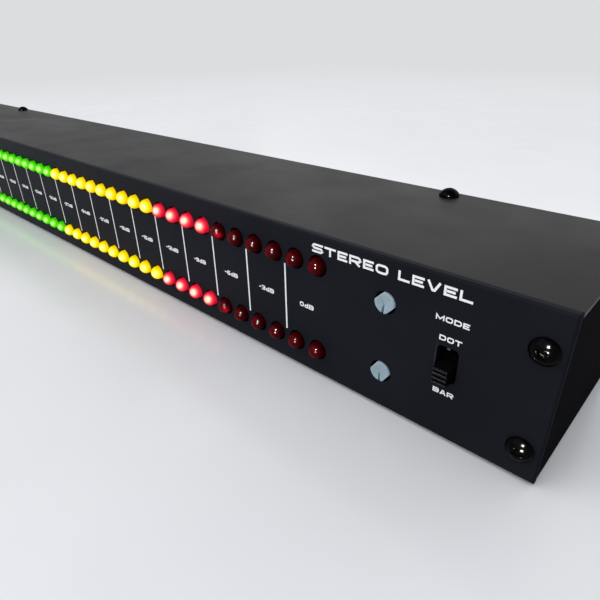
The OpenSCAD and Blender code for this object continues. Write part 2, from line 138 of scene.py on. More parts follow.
class Shader:
    """A Principled material whose coordinates are the part's frame, in metres."""

    def __init__(self, name):
        self.mat = bpy.data.materials.new(name)
        self.mat.use_nodes = True
        self.tree = self.mat.node_tree
        self.tree.nodes.clear()
        self.out = self.node("ShaderNodeOutputMaterial")
        self.bsdf = self.node("ShaderNodeBsdfPrincipled")
        self.link(self.bsdf.outputs[0], self.out.inputs[0])
        self.coords = self.node("ShaderNodeTexCoord").outputs["Object"]

    def node(self, kind, **props):
        n = self.tree.nodes.new(kind)
        for k, v in props.items():
            setattr(n, k, v)
        return n

    def link(self, a, b):
        self.tree.links.new(a, b)

    def put(self, socket, value):
        """Links an output to a socket, or sets a plain value on it."""
        if hasattr(value, "is_linked"):
            self.link(value, socket)
        elif isinstance(value, tuple) and len(value) < len(socket.default_value):
            socket.default_value = (*value, 1.0)
        else:
            socket.default_value = value

    def set(self, **values):
        """Puts values on the inputs of the surface, named with _ for a space."""
        for k, v in values.items():
            self.put(self.bsdf.inputs[k.replace("_", " ")], v)

    def noise(self, scale, detail=3.0, rough=0.55, stretch=None):
        source = self.coords
        if stretch:
            m = self.node("ShaderNodeMapping")
            m.inputs["Scale"].default_value = stretch
            self.link(source, m.inputs["Vector"])
            source = m.outputs[0]
        n = self.node("ShaderNodeTexNoise")
        self.link(source, n.inputs["Vector"])
        n.inputs["Scale"].default_value = scale
        n.inputs["Detail"].default_value = detail
        n.inputs["Roughness"].default_value = rough
        return n.outputs["Fac"]

    def span(self, value, a, b, lo, hi, smooth=False):
        """value from a..b mapped to lo..hi."""
        n = self.node("ShaderNodeMapRange", interpolation_type="SMOOTHSTEP" if smooth else "LINEAR")
        for socket, v in zip(n.inputs[:5], (value, a, b, lo, hi)):
            self.put(socket, v)
        return n.outputs[0]

    def spread(self, noise, lo, hi):
        """The usual range of a noise mapped to lo..hi."""
        return self.span(noise, NOISE_LOW, NOISE_HIGH, lo, hi)

    def math(self, op, a, b=0.0, c=0.0):
        n = self.node("ShaderNodeMath", operation=op)
        for socket, v in zip(n.inputs, (a, b, c)):
            self.put(socket, v)
        return n.outputs[0]

    def mix(self, factor, a, b):
        """Colours a and b mixed; sockets 6, 7 and 2 are the node's colours."""
        n = self.node("ShaderNodeMix", data_type="RGBA")
        self.put(n.inputs[0], factor)
        self.put(n.inputs[6], a)
        self.put(n.inputs[7], b)
        return n.outputs[2]

    def ramp(self, value, stops):
        n = self.node("ShaderNodeValToRGB")
        self.link(value, n.inputs[0])
        ends = n.color_ramp.elements
        while len(ends) < len(stops):
            ends.new(0.5)
        for e, (at, colour) in zip(ends, stops):
            e.position = at
            e.color = (*colour, 1.0)
        return n.outputs[0]

    def axis(self, i, vector=None):
        """One axis of a vector, which is the place in the part's frame unless another is given."""
        n = self.node("ShaderNodeSeparateXYZ")
        self.link(vector or self.coords, n.inputs[0])
        return n.outputs[i]

    def distance(self, place, weights=(1.0, 1.0, 1.0)):
        """Distance from a place of the part's frame, in metres, with each axis weighted."""
        scaled = self.node("ShaderNodeVectorMath", operation="MULTIPLY")
        self.link(self.coords, scaled.inputs[0])
        scaled.inputs[1].default_value = weights
        n = self.node("ShaderNodeVectorMath", operation="DISTANCE")
        self.link(scaled.outputs[0], n.inputs[0])
        n.inputs[1].default_value = [p * w for p, w in zip(place, weights)]
        return n.outputs["Value"]

    def attribute(self, name):
        return self.node("ShaderNodeAttribute", attribute_name=name).outputs["Fac"]

    def edges(self, radius, lo=0.02, hi=0.25):
        """1 near a sharp edge and 0 on a flat face, and the rounded normal for the bump."""
        bevel = self.node("ShaderNodeBevel", samples=EDGE_SAMPLES)
        bevel.inputs["Radius"].default_value = radius
        geometry = self.node("ShaderNodeNewGeometry")
        dot = self.node("ShaderNodeVectorMath", operation="DOT_PRODUCT")
        self.link(bevel.outputs[0], dot.inputs[0])
        self.link(geometry.outputs["Normal"], dot.inputs[1])
        turned_away = self.math("SUBTRACT", 1.0, dot.outputs["Value"])
        return self.span(turned_away, lo, hi, 0.0, 1.0), bevel.outputs[0]

    def bump(self, height, distance, normal=None):
        n = self.node("ShaderNodeBump")
        n.inputs["Distance"].default_value = distance
        self.link(height, n.inputs["Height"])
        if normal is not None:
            self.link(normal, n.inputs["Normal"])
        self.link(n.outputs[0], self.bsdf.inputs["Normal"])


# Materials
def coated(name, dark, light, rough, spec, grain, depth, wear, worn_and_highlight, painted_highlight_line=None, end=None):
    """Powder-coated or painted sheet: fine grain, cloudy gloss, and edges worn paler.

    A painted highlight can lie as a pale line along an upright edge at one place, and the coat can be
    dull on both ends of the part.
    """
    s = Shader(name)
    cloud = s.noise(38.0, 4.0, 0.6)
    fine = s.noise(grain, 2.0, 0.5)
    edge, normal = s.edges(SHEET_EDGE)
    rub = s.math("MULTIPLY", edge, s.span(s.noise(900.0, 3.0), 0.4, 0.65, 0.35, 1.0))
    base = s.mix(s.span(cloud, 0.35, 0.7, 0.0, 1.0), dark, light)
    if end:
        across = s.math("ABSOLUTE", s.axis(0))
        wear = s.span(across, end - END_FROM, end - END_FULL, wear, 0.0)
        spec = s.span(across, end - END_FROM, end - END_FULL, spec, END_SPEC)
    tone = s.mix(s.math("MULTIPLY", rub, wear), base, worn_and_highlight)
    if painted_highlight_line:
        # Painted highlight: a pale line in the worn tone, laid along the edge at the given place.
        painted_highlight = s.span(s.distance(painted_highlight_line, ALONG_UPRIGHT), PAINTED_HIGHLIGHT_NEAR, PAINTED_HIGHLIGHT_FAR, PAINTED_HIGHLIGHT_MOST, 0.0)
        tone = s.mix(painted_highlight, tone, worn_and_highlight)
    s.set(Base_Color=tone, Specular_IOR_Level=spec)
    s.set(Roughness=s.span(s.math("MULTIPLY_ADD", fine, 0.35, cloud), 0.4, 1.0, *rough))
    s.bump(fine, depth, normal)
    return s.mat


def plated(name, colour, tint, rough):
    """Plated metal with faint cloudiness, fine scratches and soft edges."""
    s = Shader(name)
    cloud = s.noise(420.0, 4.0, 0.6)
    lines = s.noise(1600.0, 2.0, 0.6, stretch=(1.0, 0.12, 0.12))
    normal = s.edges(SMALL_EDGE)[1]
    s.set(Base_Color=s.mix(s.spread(cloud, 0.0, 1.0), colour, tint), Metallic=1.0)
    s.set(Roughness=s.span(s.math("ADD", cloud, lines), 0.6, 1.4, *rough))
    s.bump(lines, 0.000004, normal)
    return s.mat


def moulded(name, dark, light, rough, spec=0.5, grain=3500.0, depth=0.000006, worn_and_highlight=None, soft=0.0,
            ribs=False, painted_glint=None):
    """Moulded plastic: spark-eroded grain, a little tone variation, edges polished by handling.

    With ribs, only the edges that run across the part, in front of the panel, are made pale: wear and a
    painted highlight on the crests.
    A painted glint, a pale spot, can show at one place.
    """
    s = Shader(name)
    cloud = s.noise(300.0, 4.0, 0.6)
    fine = s.noise(grain, 3.0, 0.6)
    edge, normal = s.edges(RIB_EDGE if ribs else SMALL_EDGE)
    base = s.mix(s.spread(cloud, 0.0, 1.0), dark, light)
    if worn_and_highlight:
        polish_and_highlight = HANDLED
        # On the ribs, the pale crest edges are wear and a painted highlight.
        if ribs:
            sideways = s.math("ABSOLUTE", s.axis(0, normal))
            across = s.span(sideways, 0.05, 0.3, RIB_WEAR_AND_HIGHLIGHT, 0.0)
            polish_and_highlight = s.math("MULTIPLY", across, s.math("LESS_THAN", s.axis(1), FACE_Y * MM))
        base = s.mix(s.math("MULTIPLY", edge, polish_and_highlight), base, worn_and_highlight)
    # Painted glint: a pale spot at one place.
    if painted_glint:
        painted_highlight = s.span(s.distance(painted_glint), PAINTED_GLINT_NEAR, PAINTED_GLINT_FAR, 1.0, 0.0)
        base = s.mix(painted_highlight, base, PAINTED_GLINT_TONE)
    s.set(Base_Color=base, Specular_IOR_Level=spec)
    dull = s.math("SUBTRACT", fine, s.math("MULTIPLY", edge, 0.3))
    s.set(Roughness=s.span(dull, 0.1, 0.8, *rough))
    if soft:
        s.set(Subsurface_Weight=soft, Subsurface_Scale=0.0012, Subsurface_Radius=(1.0, 0.9, 0.8))
    s.bump(fine, depth, normal)
    return s.mat


def board_material():
    """Green solder mask over tracks, with paler copper lines showing through."""
    s = Shader("solder_mask")
    tracks = s.node("ShaderNodeTexBrick")
    mapping = s.node("ShaderNodeMapping")
    mapping.inputs["Scale"].default_value = (TRACK_SCALE, TRACK_SCALE, TRACK_SCALE)
    s.link(s.coords, mapping.inputs["Vector"])
    s.link(mapping.outputs[0], tracks.inputs["Vector"])
    for key, v in (("Color1", (0.0,) * 3), ("Color2", (0.05,) * 3), ("Mortar", (1.0,) * 3)):
        s.put(tracks.inputs[key], v)
    tracks.inputs["Mortar Size"].default_value = 0.06
    line = s.math("MULTIPLY", tracks.outputs["Color"], s.span(s.noise(160.0), 0.35, 0.6, 0.2, 1.0))
    s.set(Base_Color=s.mix(line, (0.012, 0.085, 0.03), (0.045, 0.2, 0.075)))
    s.set(Coat_Weight=0.4, Coat_Roughness=0.12)
    s.set(Roughness=s.spread(s.noise(700.0), 0.22, 0.38))
    s.bump(line, 0.00004)
    return s.mat


def ribbon_material():
    """Flat cable: round conductors side by side, one edge marked."""
    s = Shader("flat_cable")
    x = s.axis(0)
    wave = s.math("SINE", s.math("MULTIPLY", x, 2 * math.pi / WIRE_PITCH))
    ridge = s.span(wave, -1.0, 1.0, 0.0, 1.0)
    mark = s.math("LESS_THAN", x, CABLE_MARK_X)
    grey = s.mix(ridge, (0.2, 0.21, 0.22), (0.36, 0.38, 0.4))
    s.set(Base_Color=s.mix(mark, grey, (0.35, 0.02, 0.02)))
    s.set(Roughness=s.spread(s.noise(900.0), 0.4, 0.55))
    s.bump(ridge, 0.0002)
    return s.mat


def sleeve_material():
    """Shrunk sleeve of a capacitor: glossy, with pale printed patches."""
    s = Shader("capacitor_sleeve")
    printed = s.span(s.noise(90.0, 1.0), 0.58, 0.6, 0.0, 1.0)
    s.set(Base_Color=s.mix(printed, (0.016, 0.026, 0.11), (0.3, 0.32, 0.36)))
    s.set(Coat_Weight=0.3, Coat_Roughness=0.15)
    s.set(Roughness=s.spread(s.noise(800.0), 0.25, 0.4))
    s.bump(s.noise(1200.0), 0.00001)
    return s.mat


def lit_lens(name, stops, power):
    """A diffused lamp that is on: pale where its chip shows through the dome, deeper round it."""
    s = Shader(name)
    glow = s.math("ADD", s.attribute("glow"), s.spread(s.noise(900.0, 2.0), -0.03, 0.03))
    s.set(Emission_Color=s.ramp(glow, stops), Emission_Strength=power)
    rim = stops[0][1]
    body = [(at, tuple(v * share for v in rim)) for at, share in ((0.0, 0.2), (1.0, 0.35))]
    s.set(Base_Color=s.ramp(glow, body))
    s.set(Roughness=s.spread(s.noise(1500.0), 0.2, 0.24), Specular_IOR_Level=0.01)
    s.bump(s.noise(700.0, 2.0), 0.000006)
    return s.mat


def dark_lens():
    """A red lamp that is off, its colour painted with light and shade: painted shade deep at the barrel,
    painted light where the dome gathers light.
    """
    s = Shader("lamp_red_off")
    # Painted light and shade, carried by the lens's glow attribute.
    painted_gathered_light = s.math("ADD", s.attribute("glow"), s.spread(s.noise(900.0, 2.0), -0.05, 0.05))
    s.set(Base_Color=s.ramp(painted_gathered_light, OFF_PAINTED_LIGHT_TONES))
    s.set(Roughness=s.spread(s.noise(1500.0), 0.14, 0.16), Specular_IOR_Level=0.026)
    s.set(Subsurface_Weight=0.3, Subsurface_Scale=0.001, Subsurface_Radius=(1.0, 0.12, 0.1))
    s.bump(s.noise(600.0, 2.0), 0.000001)
    return s.mat


def ink_material():
    """Screen-printed white ink, a little uneven in tone and height."""
    s = Shader("white_ink")
    cloud = s.noise(700.0, 4.0, 0.65)
    mesh = s.noise(5200.0, 2.0, 0.5)
    s.set(Base_Color=s.mix(s.spread(cloud, 0.0, 1.0), (0.8, 0.81, 0.82), (0.9, 0.9, 0.9)))
    s.set(Roughness=s.spread(mesh, 0.42, 0.6), Specular_IOR_Level=0.4)
    s.bump(mesh, 0.000006)
    return s.mat


# Tones of the lenses, from the least glow to the most; the unlit lens's tones are painted shade and
# painted light
GREEN_GLOW = ((0.0, (0.015, 0.3, 0.0)), (0.3, (0.04, 0.5, 0.0)), (0.5, (0.09, 0.62, 0.006)),
              (0.68, (0.25, 0.75, 0.06)), (0.82, (0.5, 0.8, 0.2)))
YELLOW_GLOW = ((0.0, (0.68, 0.42, 0.0)), (0.2, (0.8, 0.58, 0.0)), (0.4, (0.82, 0.72, 0.006)),
               (0.55, (0.83, 0.8, 0.04)), (0.68, (0.84, 0.84, 0.2)), (0.8, (0.85, 0.86, 0.38)))
RED_GLOW = ((0.0, (0.42, 0.003, 0.018)), (0.25, (0.75, 0.012, 0.04)), (0.42, (0.85, 0.05, 0.075)),
            (0.54, (0.9, 0.2, 0.17)), (0.66, (0.92, 0.5, 0.38)), (0.78, (0.92, 0.78, 0.6)))
# Unlit lens: painted shade at 0, painted light towards 1.
OFF_PAINTED_LIGHT_TONES = ((0.0, (0.013, 0.0002, 0.0008)), (0.1, (0.036, 0.0003, 0.001)),
             (0.19, (0.048, 0.0004, 0.0015)), (0.31, (0.074, 0.0005, 0.002)),
             (0.5, (0.115, 0.0008, 0.003)), (1.0, (0.8, 0.006, 0.014)))

MATS = {
    # The panel gets a painted highlight along the switch slot's left edge.
    "panel": coated("panel_powder_coat", dark=(0.0078, 0.0083, 0.0122), light=(0.0108, 0.0115, 0.0166),
                    rough=(0.46, 0.6), spec=0.04, grain=4200.0, depth=0.000012, wear=0.1,
                    worn_and_highlight=(0.06, 0.063, 0.07), painted_highlight_line=SLOT_EDGE, end=PANEL_END),
    "cover": coated("cover_paint", dark=(0.005, 0.005, 0.006), light=(0.0075, 0.0075, 0.0088),
                    rough=(0.38, 0.52), spec=0.12, grain=2300.0, depth=0.00001, wear=0.3,
                    worn_and_highlight=(0.07, 0.071, 0.075)),
    # Painted shade: the tray's paint is a darker, duller copy of the case's black paint.
    "tray": coated("tray_paint_with_painted_shade", dark=(0.0032, 0.0032, 0.004), light=(0.005, 0.005, 0.006),
                   rough=(0.65, 0.8), spec=0.003, grain=2300.0, depth=0.00001, wear=0.2,
                   worn_and_highlight=(0.03, 0.031, 0.034)),
    "screw": coated("screw_black", dark=(0.001, 0.001, 0.0012), light=(0.002, 0.002, 0.0023),
                    rough=(0.11, 0.16), spec=0.025, grain=2800.0, depth=0.000004, wear=0.2,
                    worn_and_highlight=(0.03, 0.03, 0.033)),
    "zinc": plated("zinc_plate", (0.5, 0.51, 0.53), (0.62, 0.62, 0.6), (0.24, 0.42)),
    "tin": plated("tin", (0.6, 0.61, 0.62), (0.7, 0.7, 0.69), (0.3, 0.48)),
    "nickel": plated("nickel_plate", (0.66, 0.63, 0.56), (0.76, 0.73, 0.66), (0.12, 0.26)),
    "chip": moulded("moulded_epoxy", dark=(0.016, 0.016, 0.017), light=(0.028, 0.028, 0.03),
                    rough=(0.5, 0.68)),
    "rotor": moulded("rotor_nylon", dark=(0.25, 0.335, 0.385), light=(0.325, 0.42, 0.475),
                     rough=(0.4, 0.56), spec=0.1, grain=2600.0, depth=0.00001,
                     worn_and_highlight=(0.37, 0.46, 0.51), soft=0.6),
    # The slider's pale rib crests are wear and a painted highlight.
    "slider": moulded("slider_plastic", dark=(0.0018, 0.0018, 0.0022), light=(0.003, 0.003, 0.0035),
                      rough=(0.4, 0.55), spec=0.02, grain=3800.0, worn_and_highlight=(0.38, 0.384, 0.392), ribs=True),
    # Painted shade: the parts seen through the panel's openings are near-black, and the frame carries a
    # painted glint.
    "recess": moulded("recess_plastic_painted_shade", dark=(0.0012, 0.0012, 0.0014), light=(0.002, 0.002, 0.0023),
                      rough=(0.5, 0.65), spec=0.01, painted_glint=PAINTED_GLINT_PLACE),
    "socket": moulded("socket_plastic", dark=(0.006, 0.006, 0.006), light=(0.011, 0.011, 0.011),
                      rough=(0.36, 0.52), spec=0.35),
    "white": moulded("insert_white", dark=(0.7, 0.7, 0.66), light=(0.8, 0.8, 0.77),
                     rough=(0.3, 0.45), soft=0.15),
    "red": moulded("insert_red", dark=(0.36, 0.01, 0.014), light=(0.46, 0.016, 0.02), rough=(0.3, 0.45)),
    "board": board_material(),
    "ribbon": ribbon_material(),
    "sleeve": sleeve_material(),
    "ink": ink_material(),
    "green_on": lit_lens("lamp_green_on", GREEN_GLOW, power=1.22),
    "yellow_on": lit_lens("lamp_yellow_on", YELLOW_GLOW, power=1.12),
    "red_on": lit_lens("lamp_red_on", RED_GLOW, power=1.18),
    "red_off": dark_lens(),
}

CAD_FINISH = {
    "panel": ["front_panel"],
    "cover": ["top_cover"],
    "tray": ["base_tray"],
    "zinc": ["panel_nuts", "cover_nuts", "board_standoffs", "board_screws", "tray_standoffs",
             "audio_screws"],
    "tin": ["chip_legs"],
    "nickel": ["phono_sleeves", "power_pin"],
    "chip": ["driver_chips", "buffer_chip", "cable_headers"],
    "rotor": ["upper_trimmer_rotor", "lower_trimmer_rotor"],
    "slider": ["mode_slider"],
    # Painted shade: the switch frame and trimmer bodies are near-black.
    "recess": ["switch_frame", "trimmer_bodies"],
    "socket": ["phono_housings", "power_socket"],
    "white": ["white_inserts"],
    "red": ["red_inserts"],
    "board": ["led_board", "audio_board"],
    "ribbon": ["ribbon_cable"],
    "sleeve": ["filter_capacitors"],
}
for finish, names in CAD_FINISH.items():
    for name in names:
        mesh = nodes[name].data
        mesh.materials.clear()
        mesh.materials.append(MATS[finish])

# Mesh helpers
SHINY = bpy.data.collections.new("lenses_and_screws")
SHARP_ANGLE = math.radians(35)
ZERO = 1e-6


def piece(name, verts, faces, finish, smooth=False, replaces=(), glow=None):
    """A mesh piece from points in millimetres, riding on the case."""
    mesh = bpy.data.meshes.new(name)
    mesh.from_pydata([[c * MM for c in v] for v in verts], [], faces)
    if glow:
        mesh.attributes.new("glow", "FLOAT", "POINT").data.foreach_set("value", glow)
    if smooth:
        mesh.polygons.foreach_set("use_smooth", [True] * len(mesh.polygons))
        mesh.set_sharp_from_angle(angle=SHARP_ANGLE)
    mesh.materials.append(MATS[finish])
    mesh.update()
    obj = bpy.data.objects.new(name, mesh)
    bpy.context.scene.collection.objects.link(obj)
    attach(obj, "case")
    if replaces:
        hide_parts(*replaces)
    return obj


def turned(profile, segments):
    """Points and faces of a (radius, height) profile turned round its axis, foot to top."""
    verts, faces, rings = [], [], []
    for r, h in profile:
        if r < ZERO:
            rings.append([len(verts)] * segments)
            verts.append((0.0, 0.0, h))
        else:
            rings.append(list(range(len(verts), len(verts) + segments)))
            angles = [2 * math.pi * k / segments for k in range(segments)]
            verts.extend((r * math.cos(a), r * math.sin(a), h) for a in angles)
    for low, high in zip(rings, rings[1:]):
        for k in range(segments):
            n = (k + 1) % segments
            face = (low[k], low[n], high[n], high[k])
            faces.append(tuple(dict.fromkeys(face)))
    return verts, faces


def spun(points, turn):
    """Points (across, up, out) turned round the way out."""
    c, s = math.cos(turn), math.sin(turn)
    return [(c * u - s * v, s * u + c * v, h) for u, v, h in points]


def stamp(form, place, verts, faces, turn=0.0):
    """Adds a form to a mesh: place carries a point (across, up, out) of it to the part's frame."""
    base = len(verts)
    verts.extend(place(*p) for p in spun(form[0], turn))
    faces.extend(tuple(base + i for i in f) for f in form[1])


def facing_front(x, y, z):
    return lambda u, v, h: (x + u, y - h, z + v)


def facing_up(x, y, z):
    return lambda u, v, h: (x + u, y + v, z + h)


# Lamps: aims (right, up, out) of the light in a lens, spreads in degrees, heights in millimetres
LENS_SIDES = 40
LENS_STEPS = 14
GREEN_AIM = (0.62, 0.12, 0.775)
YELLOW_AIM = (0.52, 0.16, 0.84)
RED_AIM = (0.4, 0.28, 0.87)
BEAM_SPREAD = 75.0
# Painted light and shade on the unlit lenses: where the dome gathers light, and the light passed on from
# a lit neighbour.
GATHER_AIM = (0.25, 0.25, 0.935)
GATHER_SPREAD = 80.0
GATHER_LEAST = 0.26
GATHER_MOST = 0.5
GATHER_FROM, GATHER_RISE = 5.2, 1.2
PASS_AIM = (0.78, -0.2, 0.55)
PASS_SPREAD = 32.0
PASS_MOST = 0.75


def lens_form():
    """Rim, a small fillet, the barrel and the dome."""
    profile = [(0, 0), (RIM_R - RIM_EDGE, 0), (RIM_R, RIM_EDGE)]
    profile += [(RIM_R, RIM_T - RIM_EDGE), (RIM_R - RIM_EDGE, RIM_T)]
    profile += [(LAMP_R + out, RIM_T + up) for out, up in RIM_FILLET]
    profile += [(LAMP_R, h) for h in BARREL_RINGS]
    for k in range(LENS_STEPS + 1):
        a = math.pi / 2 * k / LENS_STEPS
        r = LAMP_R * math.cos(a) if k < LENS_STEPS else 0
        profile.append((r, LAMP_LEN - LAMP_R + LAMP_R * math.sin(a)))
    return turned(profile, LENS_SIDES)


def off_aim(u, v, h, aim):
    """Angle in degrees between a point of the dome, from its centre, and an aim (right, up, out)."""
    return math.degrees(Vector((u, v, h - LAMP_LEN + LAMP_R)).angle(Vector(aim), math.pi))


def beam(aim):
    """Tone of a lit lens: 1 where the chip shows through the dome, falling off round it."""
    return lambda u, v, h: max(0.0, 1.0 - off_aim(u, v, h, aim) / BEAM_SPREAD)


def painted_gathered_light(u, v, h):
    """Painted light of an unlit lens: paler where the dome gathers light, painted shade down on the
    barrel.
    """
    deep = min(1.0, max(0.0, (h - GATHER_FROM) / GATHER_RISE))
    share = max(GATHER_LEAST, 1.0 - off_aim(u, v, h, GATHER_AIM) / GATHER_SPREAD)
    return GATHER_MOST * deep * share


def painted_passed_light(u, v, h):
    """Painted light of the unlit lens next to a lit one: a pale patch on the far side, where the
    neighbour's light crosses it.
    """
    spread = off_aim(u, v, h, PASS_AIM) / PASS_SPREAD
    return painted_gathered_light(u, v, h) + PASS_MOST * math.exp(-spread * spread)


LENS = lens_form()


def lamps(name, indices, z, finish, replaces, tone):
    """Some lamps of a row as one piece, all with the same tone over the lens."""
    verts, faces = [], []
    for i in indices:
        stamp(LENS, facing_front(lamp_x(i), BOARD_Y, z), verts, faces)
    glow = [tone(*p) for p in LENS[0]] * len(indices)
    SHINY.objects.link(piece(name, verts, faces, finish, True, replaces, glow))


for row, z in ROWS.items():
    green, yellow, red = (row + "_" + colour + "_leds" for colour in ("green", "yellow", "red"))
    lamps(row + "_green_lamps", GREENS, z, "green_on", [green], beam(GREEN_AIM))
    lamps(row + "_yellow_lamps", YELLOWS, z, "yellow_on", [yellow], beam(YELLOW_AIM))
    lamps(row + "_red_lamps_lit", RED_LIT, z, "red_on", [red], beam(RED_AIM))
    # Unlit red lamps have painted light and shade in their colour.
    lamps(row + "_red_lamp_next", RED_DARK[:1], z, "red_off", [red], painted_passed_light)
    lamps(row + "_red_lamps_dark", RED_DARK[1:], z, "red_off", [red], painted_gathered_light)

# Screws: both ends of a recess bar as height from the top, half length and half width
RECESS_MOUTH = (0.4, 1.85, 0.42)
RECESS_FLOOR = (-1.35, 0.55, 0.3)
BAR_FACES = [(0, 1, 2, 3), (7, 6, 5, 4), (4, 5, 1, 0), (5, 6, 2, 1), (6, 7, 3, 2), (7, 4, 0, 3)]
SCREW_SIDES = 72
SCREW_STEPS = 20
FIRST_TURN, NEXT_TURN = 25, 37


def mesh_object(name, form):
    """An object for the cutting of a recess."""
    mesh = bpy.data.meshes.new(name)
    mesh.from_pydata(form[0], [], form[1])
    obj = bpy.data.objects.new(name, mesh)
    bpy.context.scene.collection.objects.link(obj)
    return obj


def recess_bar(top, turn):
    """One bar of a cross recess, narrowing towards its floor."""
    verts = []
    for rise, reach, half in (RECESS_MOUTH, RECESS_FLOOR):
        h = top + rise
        verts += [(-reach, -half, h), (reach, -half, h), (reach, half, h), (-reach, half, h)]
    return spun(verts, turn), BAR_FACES


def screw_form(length, top):
    """Domed screw with a cross recess; its seat is at height 0 and its shank runs down from there."""
    profile = [(0, -length), (SHANK_R - SHANK_TIP, -length), (SHANK_R, SHANK_TIP - length), (SHANK_R, 0)]
    profile += [(HEAD_R - HEAD_EDGE, 0), (HEAD_R, HEAD_EDGE), (HEAD_R, SKIRT - HEAD_EDGE)]
    rise = top - SKIRT
    dome_r = (HEAD_R ** 2 + rise ** 2) / (2 * rise)
    edge = math.asin(HEAD_R / dome_r)
    for k in range(SCREW_STEPS + 1):
        a = edge * (1 - k / SCREW_STEPS)
        r = dome_r * math.sin(a) if k < SCREW_STEPS else 0
        profile.append((r, top - dome_r + dome_r * math.cos(a)))
    blank = mesh_object("screw_blank", turned(profile, SCREW_SIDES))
    cutters = [mesh_object("recess_bar", recess_bar(top, turn)) for turn in (0.0, math.pi / 2)]
    for cutter in cutters:
        cut = blank.modifiers.new("recess", "BOOLEAN")
        cut.operation = "DIFFERENCE"
        cut.solver = "EXACT"
        cut.object = cutter
    result = blank.evaluated_get(bpy.context.evaluated_depsgraph_get()).to_mesh()
    form = [tuple(v.co) for v in result.vertices], [tuple(p.vertices) for p in result.polygons]
    for obj in [blank] + cutters:
        bpy.data.objects.remove(obj)
    return form


def screws(name, places, length, top, replaces):
    """Screws at their places, each driven home to a different angle."""
    form = screw_form(length, top)
    verts, faces = [], []
    for k, place in enumerate(places):
        stamp(form, place, verts, faces, math.radians(FIRST_TURN + NEXT_TURN * k))
    SHINY.objects.link(piece(name, verts, faces, "screw", True, [replaces]))


low, high = box_mm("panel_screws")
screw_places = [facing_front(x, FACE_Y, z)
                for x in (low[0] + HEAD_R, high[0] - HEAD_R)
                for z in (low[2] + HEAD_R, high[2] - HEAD_R)]
screws("panel_screw_set", screw_places, high[1] - FACE_Y, FACE_Y - low[1], "panel_screws")
low, high = box_mm("cover_screws")
screw_places = [facing_up(x, low[1] + HEAD_R, ROOF_Z) for x in (low[0] + HEAD_R, high[0] - HEAD_R)]
screws("cover_screw_set", screw_places, ROOF_Z - low[2], high[2] - ROOF_Z, "cover_screws")

# Printed scale and legends, in millimetres
CORNER_STEPS = 4
MITRE_LEAST = 0.45
INK_LIFT = 0.03
INK_STEP = 0.006
INK_SUNK = 0.005


def filleted(points, radius, closed):
    """A path with each corner of non-zero radius rounded."""
    out = []
    count = len(points)
    for i, p in enumerate(points):
        r = radius[i] if isinstance(radius, list) else radius
        p = Vector(p)
        if r <= 0 or (not closed and i in (0, count - 1)):
            out.append(p)
            continue
        a, b = Vector(points[i - 1]), Vector(points[(i + 1) % count])
        u, v = (a - p).normalized(), (b - p).normalized()
        r = min(r, (a - p).length / 2, (b - p).length / 2)
        for k in range(CORNER_STEPS + 1):
            t = k / CORNER_STEPS
            out.append(p + u * r * (1 - t) ** 2 + v * r * t ** 2)
    return out


def band(path, width, closed):
    """Both sides of a flat band along a path, with mitred corners."""
    left, right = [], []
    count = len(path)
    for i, p in enumerate(path):
        before = path[i - 1] if (closed or i > 0) else None
        after = path[(i + 1) % count] if (closed or i < count - 1) else None
        d1 = (p - before).normalized() if before is not None else (after - p).normalized()
        d2 = (after - p).normalized() if after is not None else d1
        n1, n2 = Vector((-d1.y, d1.x)), Vector((-d2.y, d2.x))
        m = n1 + n2
        m = m.normalized() if m.length > ZERO else n1
        reach = width / 2 / max(MITRE_LEAST, m.dot(n1))
        left.append(p + m * reach)
        right.append(p - m * reach)
    return left, right


def print_band(path, width, closed, verts, faces, lift=INK_LIFT):
    """A printed stroke: a thin band that stands on the panel's face."""
    left, right = band(path, width, closed)
    count = len(path)
    base = len(verts)
    for depth in (FACE_Y - lift, FACE_Y + INK_SUNK):
        for side in (left, right):
            verts.extend((q.x, depth, q.y) for q in side)
    front_left, front_right, back_left, back_right = (base + k * count for k in range(4))
    for i in range(count if closed else count - 1):
        j = (i + 1) % count
        faces.append((front_left + i, front_right + i, front_right + j, front_left + j))
        faces.append((back_left + i, back_left + j, back_right + j, back_right + i))
        faces.append((front_left + i, front_left + j, back_left + j, back_left + i))
        faces.append((front_right + i, back_right + i, back_right + j, front_right + j))
    if not closed:
        for i, flip in ((0, False), (count - 1, True)):
            end = (front_left + i, back_left + i, back_right + i, front_right + i)
            faces.append(end[::-1] if flip else end)


